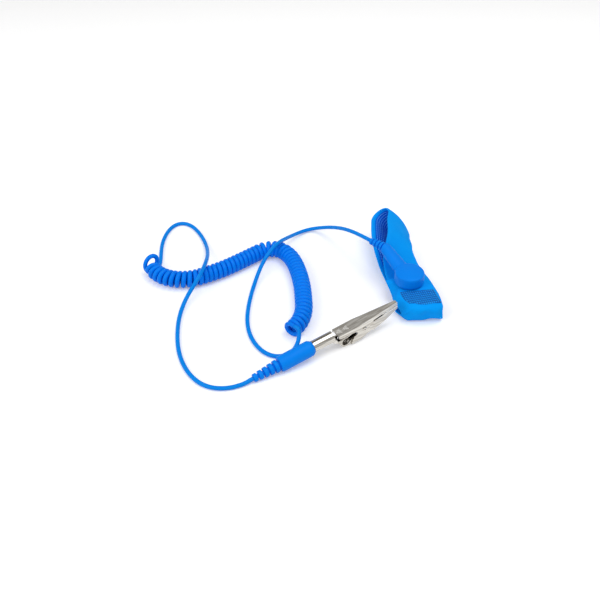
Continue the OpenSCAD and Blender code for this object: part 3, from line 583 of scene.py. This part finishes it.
def threads(m, across, pitch, shift=0.0):
    """Threads side by side, pitch apart, as a wave from 0 to 1 along that coordinate."""
    turn = add(m, "ShaderNodeMath", {0: across, 1: 2 * math.pi / pitch, 2: shift}, operation="MULTIPLY_ADD")
    wave = add(m, "ShaderNodeMath", {0: turn.outputs[0]}, operation="SINE")
    return add(m, "ShaderNodeMath", {0: wave.outputs[0], 1: 0.5, 2: 0.5}, operation="MULTIPLY_ADD").outputs[0]


# Woven nylon is matt, with a fine fuzz and hardly any shine. Its threads, 0.62 by 0.5 mm, and slow
# clouds every 8 mm move it between two blues. Its coordinates are millimetres across and along.
webbing, shader = material("woven nylon", Roughness=0.85, Specular_IOR_Level=0.08)
uv = add(webbing, "ShaderNodeUVMap", {}, uv_map="mm").outputs["UV"]
ways = add(webbing, "ShaderNodeSeparateXYZ", {"Vector": uv})
weave = add(webbing, "ShaderNodeMath", {0: threads(webbing, ways.outputs["X"], 0.62),
                                        1: threads(webbing, ways.outputs["Y"], 0.5)}, operation="MULTIPLY")
fuzz = add(webbing, "ShaderNodeTexNoise", {"Vector": uv, "Scale": 1.6, "Detail": 6.0})
height = add(webbing, "ShaderNodeMath", {0: fuzz.outputs["Fac"], 1: 0.7, 2: weave.outputs[0]},
             operation="MULTIPLY_ADD")
clouds = add(webbing, "ShaderNodeTexNoise", {"Vector": uv, "Scale": 1 / 8, "Detail": 3.0})
cloudy = add(webbing, "ShaderNodeMath", {0: clouds.outputs["Fac"], 1: 0.55}, operation="MULTIPLY")
shade = add(webbing, "ShaderNodeMath", {0: weave.outputs[0], 1: 0.45, 2: cloudy.outputs[0]},
            operation="MULTIPLY_ADD")
tint = add(webbing, "ShaderNodeMix", {SHARE: shade.outputs[0], FIRST: colour("0092F4"),
                                      SECOND: colour("00A6FF")}, data_type="RGBA")
dents = add(webbing, "ShaderNodeBump", {"Height": height.outputs[0], "Strength": 0.5, "Distance": 0.12 * MM})
feed(webbing, shader, {"Base Color": tint.outputs[MIXED], "Normal": dents.outputs["Normal"]})
outer_fabric = strap_strip("band_fabric", rounded(0.0, webbing_t, band_w, 0.5), webbing, waver=1.2)
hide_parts("band_outer")

# Conductive lining: a thinner, darker tape sewn to the inside of the band, against the skin. Silvered
# threads run along it in rows, each held down by the weave every 1.5 mm. It stops short of the fold.
lining_t, lining_w, lining_shift, lining_short = 0.65, 18.4, 0.6, 7
thread_pitch, thread_shown, stitch, stitch_gap = 1.55, 0.66, 1.5, 0.14
# The ground is matt and dark, and the threads are pale dashes that stand up a little from it.
lining, shader = material("conductive woven lining", Roughness=0.85, Specular_IOR_Level=0.08)
uv = add(lining, "ShaderNodeUVMap", {}, uv_map="mm").outputs["UV"]
ways = add(lining, "ShaderNodeSeparateXYZ", {"Vector": uv})
row = add(lining, "ShaderNodeMath", {0: threads(lining, ways.outputs["X"], thread_pitch), 1: thread_shown},
          operation="GREATER_THAN")
dash = add(lining, "ShaderNodeMath", {0: threads(lining, ways.outputs["Y"], stitch), 1: stitch_gap},
           operation="GREATER_THAN")
thread = add(lining, "ShaderNodeMath", {0: row.outputs[0], 1: dash.outputs[0]}, operation="MULTIPLY")
fuzz = add(lining, "ShaderNodeTexNoise", {"Vector": uv, "Scale": 1.3, "Detail": 5.0})
ground = add(lining, "ShaderNodeMix", {SHARE: fuzz.outputs["Fac"], FIRST: colour("0050C4"),
                                       SECOND: colour("0068DA")}, data_type="RGBA")
worn = add(lining, "ShaderNodeMath", {0: thread.outputs[0], 1: 0.9}, operation="MULTIPLY")
tint = add(lining, "ShaderNodeMix", {SHARE: worn.outputs[0], FIRST: ground.outputs[MIXED],
                                     SECOND: colour("5AA6F6")}, data_type="RGBA")
height = add(lining, "ShaderNodeMath", {0: thread.outputs[0], 1: 0.8,
                                        2: threads(lining, ways.outputs["X"], thread_pitch, 2.2)},
             operation="MULTIPLY_ADD")
dents = add(lining, "ShaderNodeBump", {"Height": height.outputs[0], "Strength": 0.6, "Distance": 0.15 * MM})
feed(lining, shader, {"Base Color": tint.outputs[MIXED], "Normal": dents.outputs["Normal"]})
section = [(depth, w + lining_shift) for depth, w in rounded(-lining_t, 0.0, lining_w, 0.3)]
inner_fabric = strap_strip("band_inside", section, lining, short=lining_short)
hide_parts("band_lining")

# Hook tape: a strip of woven nylon with rows of tiny bent hooks, welded to the lapped end in front of
# the snap. It grips the loops of the band below it.
tape_left, tape_right, tape_first, tape_last = 9.5, 10.6, 1.7, 12.6
tape_cols, tape_rows, hook_cols, hook_rows = 24, 12, 22, 11
tape_t, tape_edge, hook_r = 0.5, 0.25, 0.075


def on_lap(v, u, lift):
    """A point over the lapped end, v along it, u across it and lift above its cloth, in metres."""
    return band_point(v, rise_at(v) + lap_rise + webbing_t + lift, u - edge_shift)


def tape_spot(across, along, margin_u=0, margin_v=0):
    """The place on the lapped end of a share across and along the tape. Its left edge keeps to the crease."""
    v = tape_first + margin_v + (tape_last - tape_first - 2 * margin_v) * along
    left = max(-tape_left, edge_shift + crease_at(v) + 0.9)
    return v, left + margin_u + (tape_right - left - 2 * margin_u) * across


# The tape is semi-matt. Its hooks catch the light in rows, 1.15 by 1.6 mm apart, over a darker ground.
hook_tape, shader = material("nylon hook tape", Roughness=0.7, Specular_IOR_Level=0.2)
place = add(hook_tape, "ShaderNodeTexCoord", {}).outputs["Object"]
fuzz = add(hook_tape, "ShaderNodeTexNoise", {"Vector": place, "Scale": 0.7 / MM, "Detail": 4.0})
lay = add(hook_tape, "ShaderNodeMapping", {"Vector": place, "Rotation": (0, 0, -0.263),
                                           "Scale": (1 / MM, 1 / MM, 1 / MM)})
ways = add(hook_tape, "ShaderNodeSeparateXYZ", {"Vector": lay.outputs["Vector"]})
rows = add(hook_tape, "ShaderNodeMath", {0: threads(hook_tape, ways.outputs["X"], 1.15),
                                         1: threads(hook_tape, ways.outputs["Y"], 1.6)}, operation="MULTIPLY")
rough = add(hook_tape, "ShaderNodeMath", {0: fuzz.outputs["Fac"], 1: 0.3}, operation="MULTIPLY")
lit = add(hook_tape, "ShaderNodeMath", {0: rows.outputs[0], 1: 1.2, 2: rough.outputs[0]},
          operation="MULTIPLY_ADD")
tint = add(hook_tape, "ShaderNodeMix", {SHARE: lit.outputs[0], FIRST: colour("044CA8"),
                                        SECOND: colour("14A0F4")}, data_type="RGBA")
feed(hook_tape, shader, {"Base Color": tint.outputs[MIXED]})
bm = bmesh.new()
bmesh.ops.create_grid(bm, x_segments=tape_cols, y_segments=tape_rows, size=0.5)
made = bmesh.ops.extrude_face_region(bm, geom=bm.faces[:], use_keep_orig=True)["geom"]
upper = {g for g in made if isinstance(g, bmesh.types.BMVert)}
for vert in bm.verts:
    on_edge = max(abs(vert.co.x), abs(vert.co.y)) > 0.499
    lift = tape_t - (tape_edge if on_edge else 0) if vert in upper else 0.02
    v, u = tape_spot(vert.co.x + 0.5, vert.co.y + 0.5)
    vert.co = on_lap(v, u, lift)
for i in range(hook_cols):
    for j in range(hook_rows):
        v, u = tape_spot(i / (hook_cols - 1), j / (hook_rows - 1), 0.6, 0.5)
        lean = 0.3 if (i + j) % 2 else -0.3
        hook = [on_lap(v, u, 0.45), on_lap(v, u, 0.8), on_lap(v, u + lean * 0.5, 0.92),
                on_lap(v, u + lean, 0.78)]
        tube(bm, hook, hook_r * MM, 4)
patch = finish_piece(bm, "hook_patch_tape", hook_tape, "strap")
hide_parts("hook_patch")

# Snap head: a low disc of the same PVC as the plug, moulded round the spring half of a press stud. A neck
# rises from its side and brings the cord in through a ribbed strain relief.
cap_r, cap_h, head_z, socket_top, socket_r = 8.2, 7.1, 0.8, 3.9, 6.65
cap_round, cap_dome = 1.1, 0.45
neck_turn, relief_turn, neck_len = math.radians(106), math.radians(16), 24
neck_z, neck_lift = 4.0, 4.797
neck_wide, neck_tip_wide, neck_tall, neck_tip_tall = 4.9, 3.4, 2.95, 3.15
neck_end_wide, neck_end_tall, neck_root, neck_rings = 3.0, 2.95, 2.6, 15
snap_relief_len, snap_relief_root, snap_relief_tip, snap_relief_ribs = 9.5, 2.9, 2.05, 4
snap_x = (on_lap(21, 1, 0) - on_lap(21, 0, 0)).normalized()
snap_z = snap_x.cross(on_lap(22, 0, 0) - on_lap(21, 0, 0)).normalized()
snap_place = (Matrix.Translation(Vector(joints["snap_swivel"]["pos_m"]))
              @ Matrix((snap_x, snap_z.cross(snap_x), snap_z)).transposed().to_4x4())
neck_place = snap_place @ Matrix.Rotation(neck_turn, 4, "Z")
tip_place = (neck_place @ Matrix.Translation((neck_len * MM, 0, (neck_z + neck_lift) * MM))
             @ Matrix.Rotation(relief_turn, 4, "Z"))
rim_z = head_z + cap_h - cap_dome
rim = [(rim_z - cap_round * (1 - math.sin(a)), cap_r - cap_round * (1 - math.cos(a)))
       for a in (math.radians(15 * k) for k in range(7))]
bm = turned([(socket_top, 0), (socket_top, socket_r), (head_z, socket_r), (head_z, cap_r - 0.4),
             (head_z + 0.4, cap_r)] + rim + [(head_z + cap_h - 0.12, cap_r * 0.45), (head_z + cap_h, 0)],
            snap_place, 96)
last = None
for k in range(neck_rings):
    share = k / (neck_rings - 1)
    x = cap_r - neck_root + (neck_len - cap_r + neck_root) * share
    wide = neck_wide + (neck_tip_wide - neck_wide) * share ** 0.8
    tall = neck_tall + (neck_tip_tall - neck_tall) * share
    spot = neck_place @ Matrix.Translation(Vector((x, 0, neck_z + neck_lift * min(1, share / 0.92))) * MM)
    if share == 1:
        wide, tall, spot = neck_end_wide, neck_end_tall, tip_place
    ring = bmesh.ops.create_circle(bm, segments=40, radius=MM,
                                   matrix=spot @ Matrix.Rotation(math.pi / 2, 4, "Y")
                                   @ Matrix.Diagonal((tall, wide, 1, 1)))["verts"]
    edges = list({e for vert in ring for e in vert.link_edges})
    if last:
        bmesh.ops.bridge_loops(bm, edges=last + edges)
    last = edges
bmesh.ops.holes_fill(bm, edges=[e for e in bm.edges if e.is_boundary], sides=0)
cap = finish_piece(bm, "snap_head_moulding", moulding, "snap_head")
fuse = cap.modifiers.new("fuse", "REMESH")
fuse.mode = "VOXEL"
fuse.voxel_size = 0.22 * MM
fuse.use_smooth_shade = True
ease = cap.modifiers.new("ease", "SMOOTH")
ease.factor = 0.5
ease.iterations = 10
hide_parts("snap_cap")
ribbed("snap_strain_relief", tip_place @ Matrix.Rotation(math.pi / 2, 4, "Y"), snap_relief_len,
       snap_relief_root, snap_relief_tip, snap_relief_ribs, "snap_head", "snap_relief")

# Press stud: a nickel-plated stud and eyelet riveted through the band, with a wide contact plate against
# the skin, and the nickel-plated socket in the head, whose brass spring ring grips the stud.
for node in ("snap_stud", "snap_eyelet", "contact_plate", "snap_socket"):
    refinish(node, nickel)
refinish("snap_ring", brass)

# Floor and light: a white table under a soft box and a fill, in a pale room. A grey card at the back
# gives the metal something dark to mirror.
floor_size, card_spot, card_size, card_tilt = 3, (0, 0.8, 0.65), (1.2, 0.45), math.radians(55)
room_light, paper_glow = 0.55, 0.22
# The paper glows only for the camera and in mirrors, which makes it white without lighting the strap.
paper, shader = material("white paper", Roughness=0.9)
rays = add(paper, "ShaderNodeLightPath", {})
seen = add(paper, "ShaderNodeMath", {0: rays.outputs["Is Camera Ray"], 1: rays.outputs["Is Glossy Ray"]},
           operation="MAXIMUM")
seen = add(paper, "ShaderNodeMath", {0: seen.outputs[0], 1: rays.outputs["Is Transmission Ray"]},
           operation="MAXIMUM")
glow = add(paper, "ShaderNodeMath", {0: seen.outputs[0], 1: paper_glow}, operation="MULTIPLY")
feed(paper, shader, {"Base Color": colour("F7F7F7"), "Emission Color": colour("FFFFFF"),
                     "Emission Strength": glow.outputs[0]})
# The card is plain and matt.
grey, shader = material("grey card", Roughness=0.9)
feed(grey, shader, {"Base Color": colour("7C7973")})
bm = bmesh.new()
bmesh.ops.create_grid(bm, x_segments=1, y_segments=1, size=floor_size)
floor = finish_piece(bm, "floor", paper, smooth=False)
bm = bmesh.new()
bmesh.ops.create_grid(bm, x_segments=1, y_segments=1, size=1,
                      matrix=Matrix.Translation(card_spot) @ Matrix.Rotation(card_tilt, 4, "X")
                      @ Matrix.Diagonal((*card_size, 1, 1)))
wall = finish_piece(bm, "wall", grey, smooth=False)
room = bpy.data.worlds.new("room")
scene.world = room
room.use_nodes = True
room.node_tree.nodes["Background"].inputs["Color"].default_value = (1, 1, 1, 1)
room.node_tree.nodes["Background"].inputs["Strength"].default_value = room_light
table_middle = Vector((-0.04, 0, 0))
for name, spot, size, power in (("soft box", Vector((0.25, -0.05, 1.0)), 0.7, 4.2),
                                ("fill", Vector((-0.7, -0.5, 0.7)), 0.6, 3.2)):
    lamp = bpy.data.objects.new(name, bpy.data.lights.new(name, "AREA"))
    scene.collection.objects.link(lamp)
    lamp.location = spot
    lamp.rotation_euler = (table_middle - spot).to_track_quat("-Z", "Y").to_euler()
    lamp.data.size = size
    lamp.data.energy = power
